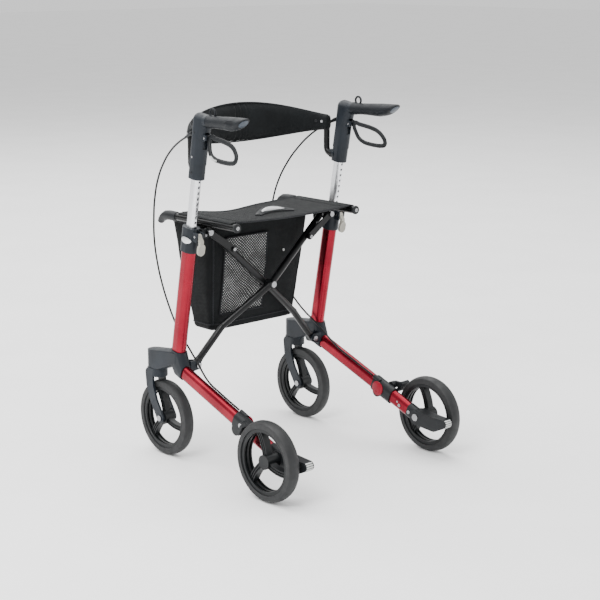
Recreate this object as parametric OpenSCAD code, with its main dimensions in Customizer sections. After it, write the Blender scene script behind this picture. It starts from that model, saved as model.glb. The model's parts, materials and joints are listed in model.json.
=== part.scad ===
// Folding rollator walker: two side frames, a scissor brace, seat, bag, backrest, four wheels.
// +X is the user's right, +Y the walking direction, Z = 0 the ground. Millimetres.

/* [Stance] */
// Distance from the middle of the walker to each side frame
side_x = 243; // [238:1:248]
// Backward lean of the uprights, in degrees
rake = 10.35; // [8:0.05:12]
// Y of the rear wheel axle
rear_y = -220.5; // [-222:0.5:-219]
// Y of the caster wheel axle
front_y = 225.5; // [224:0.5:227]

/* [Wheels] */
// Wheel radius over the tyre
wheel_r = 100; // [98:1:100]
// Width of a rear tyre
rear_tyre_w = 32; // [28:1:33]
// Width of a caster tyre
caster_tyre_w = 28; // [24:1:29]
// X of the rear wheel's middle plane
rear_wheel_x = 283; // [281:1:284]
// Distance from the swivel axis back to the caster axle
caster_trail = 32; // [28:1:36]

/* [Tubes] */
// Upright tube, across
upright_w = 30; // [28:1:31]
// Upright tube, front to back
upright_d = 41; // [38:1:42]
// Height tube, across
inner_w = 20; // [18:1:21]
// Height tube, front to back
inner_d = 28; // [26:1:29]
// Lower tube, across
lower_w = 25; // [23:1:26]
// Lower tube, top to bottom
lower_d = 38; // [36:1:39]
// Radius of the scissor brace tubes
brace_r = 9; // [8:0.5:10]
// Radius of the seat rails
rail_r = 10; // [9:0.5:10.5]

/* [Soft goods] */
// Thickness of the seat sling
sling_t = 4; // [3:0.5:5]
// Thickness of the bag's cloth shell
bag_t = 4; // [3:0.5:5]
// Thickness of the backrest pad
pad_t = 20; // [16:1:22]

/* [Brakes] */
// Radius of the brake cable housing
cable_r = 2.5; // [2:0.1:3]

/* [Hidden] */
$fn = 48;
SIDES = ["l", "r"];
PAIRED = [
    "upright_tube", "lower_tube", "front_casting", "clamp_collar", "clamp_lever", "handle_tube",
    "handle_post", "grip", "backrest_collar", "backrest_arm", "brake_lever", "brake_cable",
    "brake_housing", "brake_shoe", "tip_pedal", "rear_wheel", "rear_tyre", "rear_axle",
    "caster_fork", "caster_axle", "caster_wheel", "caster_tyre", "seat_rail", "fold_link",
    "rail_bracket", "frame_pins"
];
SINGLE = [
    "cross_brace_a", "cross_brace_b", "pivot_bolt", "seat_sling", "seat_handle", "bag",
    "backrest_pad"
];

fit = 0.05;             // radial running clearance of pins and axles
gap = 0.3;              // clearance between parts that pass each other
wall = 2;               // tube wall

// upright: foot point and stations measured along its own axis
foot_y = 168.5;
foot_z = 289;
collar_top_s = 336;
collar_len = 64;
post_bottom_s = 461.5;
post_seam_s = 499;
inner_bottom_s = 150;
inner_top_s = 545;
hole_pitch = 15;

// lower tube: its front point, and the slope that carries it down to the rear axle
low_y = 146.5;
low_z = 237;
low_slope = atan2(low_z - wheel_r, low_y - rear_y);
low_len = norm([low_y - rear_y, low_z - wheel_r]);
red_end = 357;          // where the painted tube stops, from its front point
housing_start = 222;
housing_len = 70;

// scissor brace
pivot_z = 442;
hinge_x = 205;
hinge_y = 150;
hinge_z = 250;
brace_a_y = 87;
brace_b_y = 110;
bend = [125, 137, 340];
rail_x = 203;
rail_z = 627;
rail_back = -22.5;
rail_front = 250;
brace_top = [203, 100, 615];
link_pin = [132, 86.5, 552.6];
link_base = [208, 80, 604];
link_y = 80;

swivel_y = front_y + caster_trail;
axle_r = 6;
stem_r = 8;

// handle
grip_z = 887;
grip_y = 30;
ring_y = 16;
ring_z = 907.5;
ring_r = 12.5;
ring_hole_r = 7;
lever_y = 40;
lever_z = 846;
lever_pin_r = 3;
shoe_pivot = [-110, 160];

// backrest
arm_r = 8.5;
arm_x = 231;
arm_y = 120;
arm_bend = 13;
arm_z = 762;
arm_reach = 34;
tip_z = 845;
tip_bend = 16;
pad_mid_y = 214;
pad_z = 853;
pad_half_h = 50;
pad_top_r = 674;
pad_low_r = 1122;
pad_end_x = 215;
pad_r = (arm_x * arm_x + pow(pad_mid_y - arm_y, 2)) / (2 * (pad_mid_y - arm_y));
tip_turn = asin(arm_x / pad_r);
function arm_tip(d) = [
    arm_x - (tip_bend + d) * cos(tip_turn), arm_y + (tip_bend + d) * sin(tip_turn), tip_z
];

// brake cable: from the post, out and down in one bow, to the brake housing
CABLE = [
    [244, 78, 855], [244, 100, 852], [243, 119, 843], [240, 155, 826], [236, 193, 802],
    [230, 232, 767], [222, 268, 722], [213, 296, 668], [206, 312, 608], [201, 318, 550],
    [198, 311, 492], [199, 290, 436], [204, 258, 387], [210, 222, 345], [216, 187, 314],
    [219, 160, 297], [222, 138, 281], [225, 112, 262], [229, 88, 243], [233, 58, 225],
    [234, 20, 210], [234, -25, 193], [234, -58, 181]
];

// ---- helpers ----

module oval(w, d) {
    for (k = [-1, 1]) translate([0, k * (d - w) / 2]) circle(d = w);
    square([w, d - w], center = true);
}

module side(s) {
    if (s == "r") children();
    else mirror([1, 0, 0]) children();
}

// frame whose Z runs up the raked upright, s millimetres from its foot
module on_upright(s = 0) {
    translate([side_x, foot_y, foot_z]) rotate([rake, 0, 0]) translate([0, 0, s]) children();
}

// frame whose -Y runs back down the lower tube from its front point
module on_lower(back = 0) {
    translate([side_x, low_y, low_z]) rotate([low_slope, 0, 0]) translate([0, -back, 0]) children();
}

// a tube or bar along the lower tube's axis, with a 2D section
module along_lower(from, to) {
    on_lower(from) rotate([90, 0, 0]) linear_extrude(to - from) children();
}

module x_cyl(x0, x1, y, z, r) {
    translate([x0, y, z]) rotate([0, 90, 0]) cylinder(h = x1 - x0, r = r);
}

module y_cyl(x, y0, y1, z, r) {
    translate([x, y0, z]) rotate([-90, 0, 0]) cylinder(h = y1 - y0, r = r);
}

module rod(p, q, r) {
    d = q - p;
    translate(p) rotate([0, acos(d[2] / norm(d)), atan2(d[1], d[0])]) cylinder(h = norm(d), r = r);
}

// ---- side frame ----

module upright_tube() {
    color("crimson") on_upright(-22) linear_extrude(collar_top_s - 36 + 22) difference() {
        oval(upright_w, upright_d);
        oval(upright_w - 2 * wall, upright_d - 2 * wall);
    }
}

module lower_tube() {
    color("crimson") along_lower(-22, red_end) difference() {
        oval(lower_w, lower_d);
        oval(lower_w - 2 * wall, lower_d - 2 * wall);
    }
}

module front_casting() {
    head_w = 21;
    color("slategray") difference() {
        union() {
            hull() {
                for (y = [246, 267]) translate([side_x, y, 229]) cylinder(h = 47, r = head_w, $fn = 32);
                on_upright(-28) linear_extrude(24) oval(38, 49, $fn = 32);
            }
            hull() {
                on_upright(-30) linear_extrude(32) oval(36, 47, $fn = 32);
                on_lower(-22) rotate([90, 0, 0]) linear_extrude(26) oval(31, 44, $fn = 32);
            }
            // ears that carry the brace hinge, on the inner side
            for (y = [-13, 7]) hull() {
                y_cyl(hinge_x, hinge_y + y, hinge_y + y + 6, hinge_z, 11);
                translate([side_x - 20, hinge_y + y, hinge_z - 14]) cube([6, 6, 28]);
            }
        }
        on_upright(-23) linear_extrude(60) oval(upright_w + 0.1, upright_d + 0.1);
        on_lower(-23) rotate([90, 0, 0]) linear_extrude(60) oval(lower_w + 0.1, lower_d + 0.1);
        translate([side_x, swivel_y, 200]) cylinder(h = 68, r = stem_r + fit);
        y_cyl(hinge_x, hinge_y - 20, hinge_y + 20, hinge_z, 4 + fit);
    }
}

module clamp_collar() {
    s0 = collar_top_s - collar_len;
    color("slategray") difference() {
        union() {
            on_upright(s0) linear_extrude(collar_len) oval(38, 48);
            on_upright(0) for (x = [-11, 6.5]) translate([x, -38, collar_top_s - 30]) cube([4.5, 20, 24]);
        }
        on_upright(s0 - 1) linear_extrude(collar_len - 35) oval(upright_w + 0.1, upright_d + 0.1);
        on_upright(s0) linear_extrude(collar_len + 2) oval(inner_w + 2 * gap, inner_d + 2 * gap);
        on_upright(0) translate([-20, -31, collar_top_s - 16]) rotate([0, 90, 0])
            cylinder(h = 40, r = 3 + fit);
        // clamping slot at the back
        on_upright(0) translate([-1.5, -26, collar_top_s - 34]) cube([3, 16, 40]);
    }
}

module clamp_lever() {
    pin = [-31, collar_top_s - 16];
    color("silver") difference() {
        on_upright(0) {
            translate([-6, 0, 0]) rotate([90, 0, 90]) linear_extrude(12) {
                translate(pin) circle(r = 6.5);
                hull() {
                    translate(pin) circle(r = 4, $fn = 32);
                    translate([-43, collar_top_s - 26]) circle(r = 3.5, $fn = 32);
                }
                hull() {
                    translate([-43, collar_top_s - 26]) circle(r = 3.5, $fn = 32);
                    translate([-45, collar_top_s - 42]) circle(r = 3.5, $fn = 32);
                }
            }
            translate([0, -42, 0]) rotate([90, 0, 0]) linear_extrude(7) hull() {
                translate([0, collar_top_s - 42]) circle(r = 10.5, $fn = 32);
                translate([0, collar_top_s - 51.5]) circle(r = 10.5, $fn = 32);
            }
        }
        on_upright(0) translate([-20, pin[0], pin[1]]) rotate([0, 90, 0]) cylinder(h = 40, r = 3 + fit);
    }
}

module rail_bracket() {
    color("dimgray") difference() {
        union() {
            // block against the upright, with the saddle that the rail rests in
            translate([194, 117, 588]) cube([side_x - upright_w / 2 - 194 - fit, 17, 33]);
            // lug that carries the fold link
            translate([202, 84, 592]) cube([side_x - upright_w / 2 - 202 - fit, 35, 20]);
        }
        y_cyl(rail_x, 80, 150, rail_z, rail_r + gap);
        translate([190, 108, rail_z - 4]) cube([30, 30, 20]);
        y_cyl(link_base[0], 80, 113, link_base[2], 4 + fit);
        // room for the top of the brace
        translate([190, 90, 597]) cube([23, 20.2, 40]);
        on_upright(200) linear_extrude(160) oval(upright_w + 0.1, upright_d + 0.1);
        on_upright(collar_top_s - collar_len - 1) linear_extrude(90) oval(38.2, 48.2);
    }
}

module brake_housing() {
    color("#202224") difference() {
        union() {
            along_lower(housing_start, housing_start + housing_len) oval(lower_w + 7, lower_d + 8);
            // lobe that holds the brake spring, low at the front
            on_lower(housing_start + 18) translate([-8, 0, -16]) rotate([0, 90, 0]) cylinder(h = 24, r = 15);
            // cable entry on top
            on_lower(housing_start - 4) translate([-9, 0, 19]) rotate([90, 0, 0]) cylinder(h = 26, r = 5.5);
            // boss of the brake arm, outboard
            x_cyl(side_x + 8, side_x + 21, shoe_pivot[0], shoe_pivot[1], 10);
        }
        along_lower(-23, low_len) oval(lower_w + 0.1, lower_d + 0.1);
        on_lower(housing_start - 30) translate([-9, 0, 19]) rotate([90, 0, 0])
            cylinder(h = 46, r = cable_r + gap);
        x_cyl(side_x + 5, side_x + 40, shoe_pivot[0], shoe_pivot[1], 4 + fit);
    }
}

module brake_shoe() {
    x0 = side_x + 21.5;
    touch = 32;         // angle round the wheel where the pad bears
    pad_y = rear_y + (wheel_r + 3.5) * cos(touch);
    pad_z0 = wheel_r + (wheel_r + 3.5) * sin(touch);
    color("#1c1e20") difference() {
        union() {
            translate([x0, 0, 0]) rotate([90, 0, 90]) linear_extrude(8) hull() {
                translate(shoe_pivot) circle(r = 9, $fn = 32);
                translate([pad_y + 7, pad_z0 + 8]) circle(r = 6, $fn = 32);
            }
            translate([x0, pad_y, pad_z0]) rotate([touch - 90, 0, 0]) translate([0, -14, 0])
                cube([30, 28, 9]);
        }
        x_cyl(x0 - 5, x0 + 12, shoe_pivot[0], shoe_pivot[1], 4 + fit);
        x_cyl(x0 - 5, x0 + 50, rear_y, wheel_r, wheel_r + 3.5);
    }
}

module tip_pedal() {
    color("#26292b") difference() {
        union() {
            along_lower(red_end + 0.2, low_len - 6) oval(lower_w + 2, lower_d + 2);
            along_lower(red_end - 40, red_end + 1) oval(lower_w - 2 * wall - 0.2, lower_d - 2 * wall - 0.2);
            hull() {
                x_cyl(side_x - 14, side_x + 14, rear_y, wheel_r, 20);
                x_cyl(side_x - 15, side_x + 15, -283, 95, 19);
            }
            hull() {
                x_cyl(side_x - 15, side_x + 15, -283, 95, 19);
                x_cyl(side_x - 13, side_x + 13, -314, 102, 11.5);
            }
        }
        x_cyl(side_x - 40, side_x + 40, rear_y, wheel_r, axle_r + fit);
        x_cyl(side_x - 20, side_x - 10, rear_y, wheel_r, 10);
    }
}

module rear_axle() {
    color("silver") {
        x_cyl(side_x - 16, rear_wheel_x + 9, rear_y, wheel_r, axle_r);
        x_cyl(side_x - 16, side_x - 10.2, rear_y, wheel_r, 9.5);
    }
}

// screws and hinge pins of one side frame
module frame_pins() {
    color("silver") {
        y_cyl(hinge_x, hinge_y - 16, hinge_y + 16, hinge_z, 4);
        for (y = [-17.5, 13.5]) y_cyl(hinge_x, hinge_y + y, hinge_y + y + 4, hinge_z, 7);
        y_cyl(link_base[0], link_y - 1, 112, link_base[2], 4);
        y_cyl(link_base[0], link_y - 7, link_y - 2 - gap, link_base[2], 7);
        y_cyl(link_base[0], link_y - 4, link_y, link_base[2], 4);
        x_cyl(side_x + lower_w / 2 + 0.3, side_x + 29, shoe_pivot[0], shoe_pivot[1], 4);
        x_cyl(side_x + 29.8, side_x + 33, shoe_pivot[0], shoe_pivot[1], 6.5);
        x_cyl(side_x + 28, side_x + 31, shoe_pivot[0], shoe_pivot[1], 4);
        on_upright(0) translate([-13, -31, collar_top_s - 16]) rotate([0, 90, 0]) cylinder(h = 26, r = 3);
        on_lower(housing_start + housing_len + 38) translate([-lower_w / 2 - 2, 0, -2]) rotate([0, 90, 0])
            cylinder(h = 1.95, r = 4.5);
    }
}

// ---- handle ----

module handle_tube() {
    color("gainsboro") difference() {
        on_upright(inner_bottom_s) linear_extrude(inner_top_s - inner_bottom_s) difference() {
            oval(inner_w, inner_d);
            oval(inner_w - 2 * wall, inner_d - 2 * wall);
        }
        for (s = [inner_bottom_s + 20 : hole_pitch : post_bottom_s - 5])
            on_upright(s) translate([0, -inner_d / 2 + 4, 0]) rotate([90, 0, 0]) cylinder(h = 10, r = 3.2);
    }
}

module backrest_collar() {
    color("slategray") difference() {
        union() {
            on_upright(post_bottom_s) linear_extrude(post_seam_s - post_bottom_s - 0.2) oval(36, 43);
            y_cyl(side_x - 8, 88, 106, arm_z, 12);
        }
        on_upright(post_bottom_s - 1) linear_extrude(60) oval(inner_w + 0.1, inner_d + 0.1);
        y_cyl(arm_x, 97.4, 140, arm_z, arm_r + fit);
    }
}

module backrest_arm() {
    color("#2b2e31") {
        y_cyl(arm_x, 97.6, arm_y - arm_bend, arm_z, arm_r);
        translate([arm_x, arm_y - arm_bend, arm_z + arm_bend]) rotate([0, 90, 0])
            rotate_extrude(angle = 90) translate([arm_bend, 0]) circle(r = arm_r);
        translate([arm_x, arm_y, arm_z + arm_bend]) cylinder(h = tip_z - tip_bend - arm_z - arm_bend + 1, r = arm_r);
        // bent over at the top, into the end of the pad
        translate([arm_x, arm_y, tip_z - tip_bend]) rotate([90, 0, 180 - tip_turn])
            translate([tip_bend, 0, 0]) {
                rotate([0, 0, 90]) rotate_extrude(angle = 90) translate([tip_bend, 0]) circle(r = arm_r + 0.3);
                translate([-1, tip_bend, 0]) rotate([0, 90, 0]) cylinder(h = arm_reach + 1, r = arm_r);
            }
    }
}

module handle_post() {
    color("slategray") difference() {
        union() {
            on_upright(post_seam_s) linear_extrude(70) oval(38, 45);
            hull() {
                on_upright(566) linear_extrude(2) oval(39, 46, $fn = 32);
                translate([side_x, 66, 888]) sphere(r = 18, $fn = 32);
                translate([side_x, 48, 886]) sphere(r = 17, $fn = 32);
            }
            hull() {
                translate([side_x, 46, 886]) sphere(r = 15.5, $fn = 32);
                y_cyl(side_x + 1, grip_y, grip_y + 4, grip_z - 1, 16.5, $fn = 32);
            }
            // ears of the brake lever
            for (x = [-11, 6.5]) hull() {
                x_cyl(side_x + x, side_x + x + 4.5, lever_y, lever_z, 8);
                x_cyl(side_x + x, side_x + x + 4.5, lever_y + 20, lever_z + 2, 12);
            }
        }
        on_upright(post_seam_s - 1) linear_extrude(inner_top_s - post_seam_s + 2)
            oval(inner_w + 0.1, inner_d + 0.1);
        x_cyl(side_x - 40, side_x + 40, lever_y, lever_z, lever_pin_r + fit);
        translate([side_x - 6.4, 20, lever_z - 30]) cube([12.8, 34, 42]);
        translate([244, 74, 855.6]) rotate([-97.8, 0, 0]) cylinder(h = 40, r = cable_r + 2 * gap);
    }
}

module grip() {
    color("#3a4049") difference() {
        grip_form();
        x_cyl(side_x - 10, side_x + 14, ring_y, ring_z, ring_hole_r);
    }
}

module grip_form() {
    union() {
        // eyelet on top of the grip root
        x_cyl(side_x - 1.5, side_x + 5.5, ring_y, ring_z, ring_r);
        hull() {
            y_cyl(side_x + 1, 24, grip_y - 0.2, grip_z - 2, 15, $fn = 32);
            translate([side_x + 4, -20, grip_z]) sphere(r = 15, $fn = 32);
        }
        hull() {
            translate([side_x + 4, -20, grip_z]) sphere(r = 15, $fn = 32);
            translate([side_x + 8, -70, grip_z + 1]) sphere(r = 17, $fn = 32);
        }
        hull() {
            translate([side_x + 8, -70, grip_z + 1]) sphere(r = 17, $fn = 32);
            translate([side_x + 10, -116, grip_z + 15]) sphere(r = 6, $fn = 32);
            translate([side_x + 20, -102, grip_z + 4]) sphere(r = 6, $fn = 32);
            translate([side_x + 9, -97, grip_z - 10]) sphere(r = 7, $fn = 32);
            translate([side_x - 2, -104, grip_z + 4]) sphere(r = 6, $fn = 32);
        }
    }
}

module brake_lever() {
    splay = -12;        // the loop leans out at its lower edge
    outer = [[30, -1, 10], [-62, -26, 17], [-20, -45, 12], [16, -34, 13]];
    color("#1f2326") difference() {
        union() {
            x_cyl(side_x - 6, side_x + 6, lever_y, lever_z, 7);
            translate([side_x, lever_y, lever_z]) rotate([0, splay, 0]) translate([-4.6, -lever_y, 0])
                rotate([90, 0, 90]) linear_extrude(9.2) difference() {
                    hull() for (c = outer) translate([c[0], c[1]]) circle(r = c[2], $fn = 32);
                    hull() for (c = outer) translate([c[0] - (c[0] > 20 ? 14 : 0), c[1] - (c[0] > 20 ? 4 : 0)])
                        circle(r = max(c[2] - 7.5, 1), $fn = 32);
                }
        }
        x_cyl(side_x - 20, side_x + 20, lever_y, lever_z, lever_pin_r + fit);
    }
}

// ---- wheels ----

// tyre with a crowned tread, centred on the wheel's middle plane
module tyre(w) {
    bead_r = 82;
    rotate([0, 90, 0]) rotate_extrude($fn = 96) intersection() {
        translate([bead_r, -w / 2]) square([wheel_r - bead_r, w]);
        translate([wheel_r - 26, 0]) circle(r = 26);
    }
}

// rim, hub and three curved ribbed spokes; the bore runs from -60 to bore_to
module wheel(hub_in, hub_out, rim_w, bore_to) {
    rim_r = 82;
    spoke_r = 120;
    hub_r = 18;
    difference() {
        union() {
            rotate([0, 90, 0]) rotate_extrude($fn = 96) {
                translate([rim_r - 9, -3]) square([9, 6]);
                translate([rim_r - 4, -rim_w / 2]) square([4, rim_w]);
                for (k = [-1, 1]) translate([rim_r - 9, k * (rim_w / 2 - 2) - 2]) square([9, 4]);
            }
            for (a = [0, 120, 240]) rotate([90 - a, 0, 0]) rotate([90, 0, 90]) {
                spoke(spoke_r, 7, rim_r - 6, hub_r - 4, rim_w - 14);
                for (o = [-6, 0, 6]) spoke(spoke_r + o, 1.5, rim_r - 6, hub_r - 4, rim_w - 7);
            }
            translate([-hub_in, 0, 0]) rotate([0, 90, 0]) cylinder(h = hub_in + hub_out, r = hub_r);
        }
        translate([-60, 0, 0]) rotate([0, 90, 0]) cylinder(h = 60 + bore_to, r = axle_r + fit);
    }
}

// one rib or web of a spoke: part of a ring whose arc leaves the hub
module spoke(r, half_w, r_out, r_in, h) {
    translate([0, 0, -h / 2]) linear_extrude(h) intersection() {
        translate([0, -120]) difference() {
            circle(r = r + half_w, $fn = 96);
            circle(r = r - half_w, $fn = 96);
        }
        difference() {
            circle(r = r_out, $fn = 96);
            circle(r = r_in);
        }
        translate([0, -100]) square([120, 140]);
    }
}

module rear_wheel() {
    color("#2c2f31") translate([rear_wheel_x, rear_y, wheel_r]) wheel(25, 14, 26, 10);
}

module rear_tyre() {
    color("#1d1f20") translate([rear_wheel_x, rear_y, wheel_r]) tyre(rear_tyre_w);
}

module caster_wheel() {
    color("#2c2f31") translate([side_x, front_y, wheel_r]) wheel(14.5, 14.5, 23, 60);
}

module caster_tyre() {
    color("#1d1f20") translate([side_x, front_y, wheel_r]) tyre(caster_tyre_w);
}

module caster_axle() {
    color("silver") {
        x_cyl(side_x - 24, side_x + 24, front_y, wheel_r, axle_r);
        for (x = [-26, 22.8]) x_cyl(side_x + x, side_x + x + 3.2, front_y, wheel_r, 7.5);
    }
}

module caster_fork() {
    leg_in = 16.5;
    leg_t = 6;
    leg = [[269, 214, 15], [267, 182, 14], [252, 142, 13], [front_y, wheel_r, 13]];
    color("slategray") difference() {
        union() {
            for (x = [-leg_in - leg_t, leg_in]) translate([side_x + x, 0, 0]) rotate([90, 0, 90])
                linear_extrude(leg_t) for (i = [0 : 2]) hull() for (k = [i, i + 1])
                    translate([leg[k][0], leg[k][1]]) circle(r = leg[k][2], $fn = 32);
            hull() for (y = [swivel_y - 4, swivel_y + 10])
                translate([side_x, y, 207]) cylinder(h = 21, r = leg_in + leg_t, $fn = 32);
            translate([side_x, swivel_y, 220]) cylinder(h = 46, r = stem_r);
        }
        x_cyl(side_x - 40, side_x + 40, front_y, wheel_r, axle_r + fit);
        translate([side_x - leg_in, 190, 60]) cube([2 * leg_in, 110, 147]);
    }
}

// ---- scissor, seat and bag ----

// one brace of the scissor: straight up to its rail, bent on its way down to its hinge
module brace(mid_y, up) {
    pivot = [0, mid_y, pivot_z];
    top = [up * brace_top[0], brace_top[1], brace_top[2]];
    knee = [-up * bend[0], bend[1], bend[2]];
    foot = [-up * hinge_x, hinge_y, hinge_z];
    near = foot + 22 * unit(knee - foot);
    color("#1b1d1f") difference() {
        union() {
            rod(pivot, top, brace_r);
            rod(pivot, knee, brace_r);
            rod(knee, near, brace_r);
            // flat tongue between the hinge ears
            hull() {
                y_cyl(foot[0], hinge_y - 6.5, hinge_y + 6.5, hinge_z, 10);
                y_cyl(near[0], near[1] - 4.5, near[1] + 4.5, near[2], 8);
            }
            translate(knee) sphere(r = brace_r + 0.6);
            y_cyl(0, mid_y - 9.3, mid_y + 9.3, pivot_z, brace_r + 2);
            // stub that faces the fold link
            y_cyl(up * link_pin[0], link_y + 2 + gap, brace_top[1], link_pin[2], 6);
        }
        y_cyl(0, 60, 140, pivot_z, 4 + fit);
        y_cyl(foot[0], hinge_y - 30, hinge_y + 30, hinge_z, 4 + fit);
        y_cyl(up * rail_x, 60, 140, rail_z, rail_r + 0.05);
        y_cyl(up * link_base[0], 60, 140, link_base[2], 5.5);
    }
}

module cross_brace_a() {
    brace(brace_a_y, 1);
}

module cross_brace_b() {
    brace(brace_b_y, -1);
}

module pivot_bolt() {
    color("silver") {
        y_cyl(0, 76, 122, pivot_z, 4);
        y_cyl(0, 73, 77.4, pivot_z, 8);
        y_cyl(0, 120.7, 123.5, pivot_z, 6.5);
    }
}

module seat_rail() {
    color("#17191b") difference() {
        union() {
            y_cyl(rail_x, rail_back + 5, rail_front, rail_z, rail_r);
            y_cyl(rail_x, rail_back, rail_back + 5.5, rail_z, rail_r + 0.8);
            // front end piece, turned down
            hull() {
                y_cyl(rail_x, rail_front - 2, rail_front + 10, rail_z, rail_r + 2);
                y_cyl(rail_x, rail_front + 28, rail_front + 38, rail_z - 17, 8);
            }
        }
        y_cyl(rail_x, rail_back - 1, rail_back + 2, rail_z, 4.2);
    }
}

module fold_link() {
    color("#1b1d1f") difference() {
        union() {
            translate([0, link_y + 2, 0]) rotate([90, 0, 0]) linear_extrude(4) hull() {
                translate([link_base[0], link_base[2]]) circle(r = 8, $fn = 32);
                translate([link_pin[0], link_pin[2]]) circle(r = 9, $fn = 32);
            }
            y_cyl(link_pin[0], link_y - 6, link_y - 1.5, link_pin[2], 6.5);
        }
        y_cyl(link_base[0], link_y - 6, link_y + 6, link_base[2], 4 + fit);
    }
}

module seat_sling() {
    span = 188;
    sag = 8;
    sag_r = (span * span + sag * sag) / (2 * sag);
    under = rail_z + rail_r + 0.6;
    color("#2a2c2e") translate([0, 200, under]) rotate([90, 0, 0]) linear_extrude(205) {
        for (k = [-1, 1]) translate([k * (span + 12) - 12, 0]) square([24, sling_t]);
        intersection() {
            translate([0, sag_r - sag]) difference() {
                circle(r = sag_r, $fn = 96);
                circle(r = sag_r - sling_t, $fn = 96);
            }
            translate([-span - 0.5, -sag - 2]) square([2 * span + 1, sag + sling_t + 2]);
        }
    }
}

module seat_handle() {
    arch_r = 118;
    color("#303335") translate([0, 95 - arch_r, rail_z + rail_r + sling_t + 0.9]) linear_extrude(6)
        intersection() {
            difference() {
                circle(r = arch_r);
                circle(r = arch_r - 22);
            }
            translate([-68, 50]) square([136, 100]);
        }
}

module bag() {
    color("#232527") difference() {
        hull() bag_form(0, 0);
        hull() bag_form(bag_t, 12);
    }
}

// corner posts of the bag, t inside its outer face, with the top edge raised
module bag_form(t, raise) {
    r = 10;
    e = t + r;
    for (k = [-1, 1]) {
        translate([k * (168 - e), 121 + e, 604 + raise]) cylinder(h = 2, r = r, $fn = 24);
        translate([k * (187 - e), 268 - e, 604 + raise]) cylinder(h = 2, r = r, $fn = 24);
        for (y = [156 + e, 236 - e]) {
            translate([k * (146 - e), y, 339]) cylinder(h = 2, r = r, $fn = 24);
            translate([k * (136 - e), y, 325 + t]) cylinder(h = 1, r = r - 2, $fn = 24);
        }
    }
}

module backrest_pad() {
    color("#26282a") difference() {
        intersection() {
            translate([0, 0, pad_z - 60]) linear_extrude(120)
                translate([0, pad_mid_y - pad_r]) intersection() {
                    difference() {
                        circle(r = pad_r + pad_t / 2, $fn = 96);
                        circle(r = pad_r - pad_t / 2, $fn = 96);
                    }
                    translate([-pad_end_x, 0]) square([2 * pad_end_x, 2 * pad_r]);
                }
            // front outline: deep in the middle, narrow at the ends
            translate([0, 400, pad_z]) rotate([90, 0, 0]) linear_extrude(600) intersection() {
                translate([0, pad_half_h - pad_top_r]) circle(r = pad_top_r, $fn = 96);
                translate([0, pad_low_r - pad_half_h]) circle(r = pad_low_r, $fn = 96);
            }
        }
        // pockets for the arm ends
        for (s = SIDES) side(s) rod(arm_tip(-16), arm_tip(arm_reach + 2), arm_r + 1.2);
    }
}

// ---- brake cable ----

function unit(v) = v / norm(v);
function tangent(i) = unit(CABLE[min(i + 1, len(CABLE) - 1)] - CABLE[max(i - 1, 0)]);
function ring(i, n = 8) = let(t = tangent(i), u = unit(cross(t, [1, 0, 0])), v = cross(t, u))
    [for (k = [0 : n - 1]) CABLE[i] + cable_r * (cos(360 * k / n) * u + sin(360 * k / n) * v)];

module brake_cable() {
    n = 8;
    last = len(CABLE) - 1;
    points = [for (i = [0 : last]) each ring(i, n)];
    sides = [
        for (i = [0 : last - 1], k = [0 : n - 1])
            [i * n + k, i * n + (k + 1) % n, (i + 1) * n + (k + 1) % n, (i + 1) * n + k]
    ];
    caps = [[for (k = [0 : n - 1]) n - 1 - k], [for (k = [0 : n - 1]) last * n + k]];
    color("#111213") polyhedron(points, concat(sides, caps));
}

// ---- the parts ----

for (s = SIDES) {
    side(s) upright_tube();
    side(s) lower_tube();
    side(s) front_casting();
    side(s) clamp_collar();
    side(s) clamp_lever();
    side(s) handle_tube();
    side(s) handle_post();
    side(s) grip();
    side(s) backrest_collar();
    side(s) backrest_arm();
    side(s) brake_lever();
    side(s) brake_cable();
    side(s) brake_housing();
    side(s) brake_shoe();
    side(s) tip_pedal();
    side(s) rear_wheel();
    side(s) rear_tyre();
    side(s) rear_axle();
    side(s) caster_fork();
    side(s) caster_axle();
    side(s) caster_wheel();
    side(s) caster_tyre();
    side(s) seat_rail();
    side(s) fold_link();
    side(s) rail_bracket();
    side(s) frame_pins();
}
cross_brace_a();
cross_brace_b();
pivot_bolt();
seat_sling();
seat_handle();
bag();
backrest_pad();
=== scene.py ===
"""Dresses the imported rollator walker: paint, plastics, cloth seat, bag, backrest, cables and small fittings."""

import json
import math

import bpy
from mathutils import Matrix, Vector, noise


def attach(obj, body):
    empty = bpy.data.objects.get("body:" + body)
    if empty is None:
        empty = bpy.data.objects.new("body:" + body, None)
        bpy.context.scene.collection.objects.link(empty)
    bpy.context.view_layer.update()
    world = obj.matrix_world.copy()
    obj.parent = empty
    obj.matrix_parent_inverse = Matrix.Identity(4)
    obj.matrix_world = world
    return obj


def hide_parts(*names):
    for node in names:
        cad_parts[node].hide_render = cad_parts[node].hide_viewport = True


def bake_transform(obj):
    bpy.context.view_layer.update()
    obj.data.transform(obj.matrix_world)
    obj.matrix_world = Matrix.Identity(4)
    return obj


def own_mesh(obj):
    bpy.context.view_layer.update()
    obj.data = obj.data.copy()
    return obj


bl_info = {
    "name": "Rollator Walker",
    "version": (1, 0, 0),
    "blender": (4, 5, 0),
    "location": "View3D > Sidebar > Rollator",
    "description": "Finishes and soft goods of a folding rollator walker",
    "category": "Object",
}

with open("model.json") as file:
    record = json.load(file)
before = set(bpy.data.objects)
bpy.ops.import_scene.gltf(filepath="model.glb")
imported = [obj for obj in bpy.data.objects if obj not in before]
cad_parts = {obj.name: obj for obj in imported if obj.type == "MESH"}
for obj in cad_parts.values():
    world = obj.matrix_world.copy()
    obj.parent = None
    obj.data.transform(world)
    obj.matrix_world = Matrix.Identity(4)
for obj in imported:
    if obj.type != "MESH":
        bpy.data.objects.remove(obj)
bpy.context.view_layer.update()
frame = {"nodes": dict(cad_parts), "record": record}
NODES = frame["nodes"]
SIDES = (("l", "left", -1), ("r", "right", 1))

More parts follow.
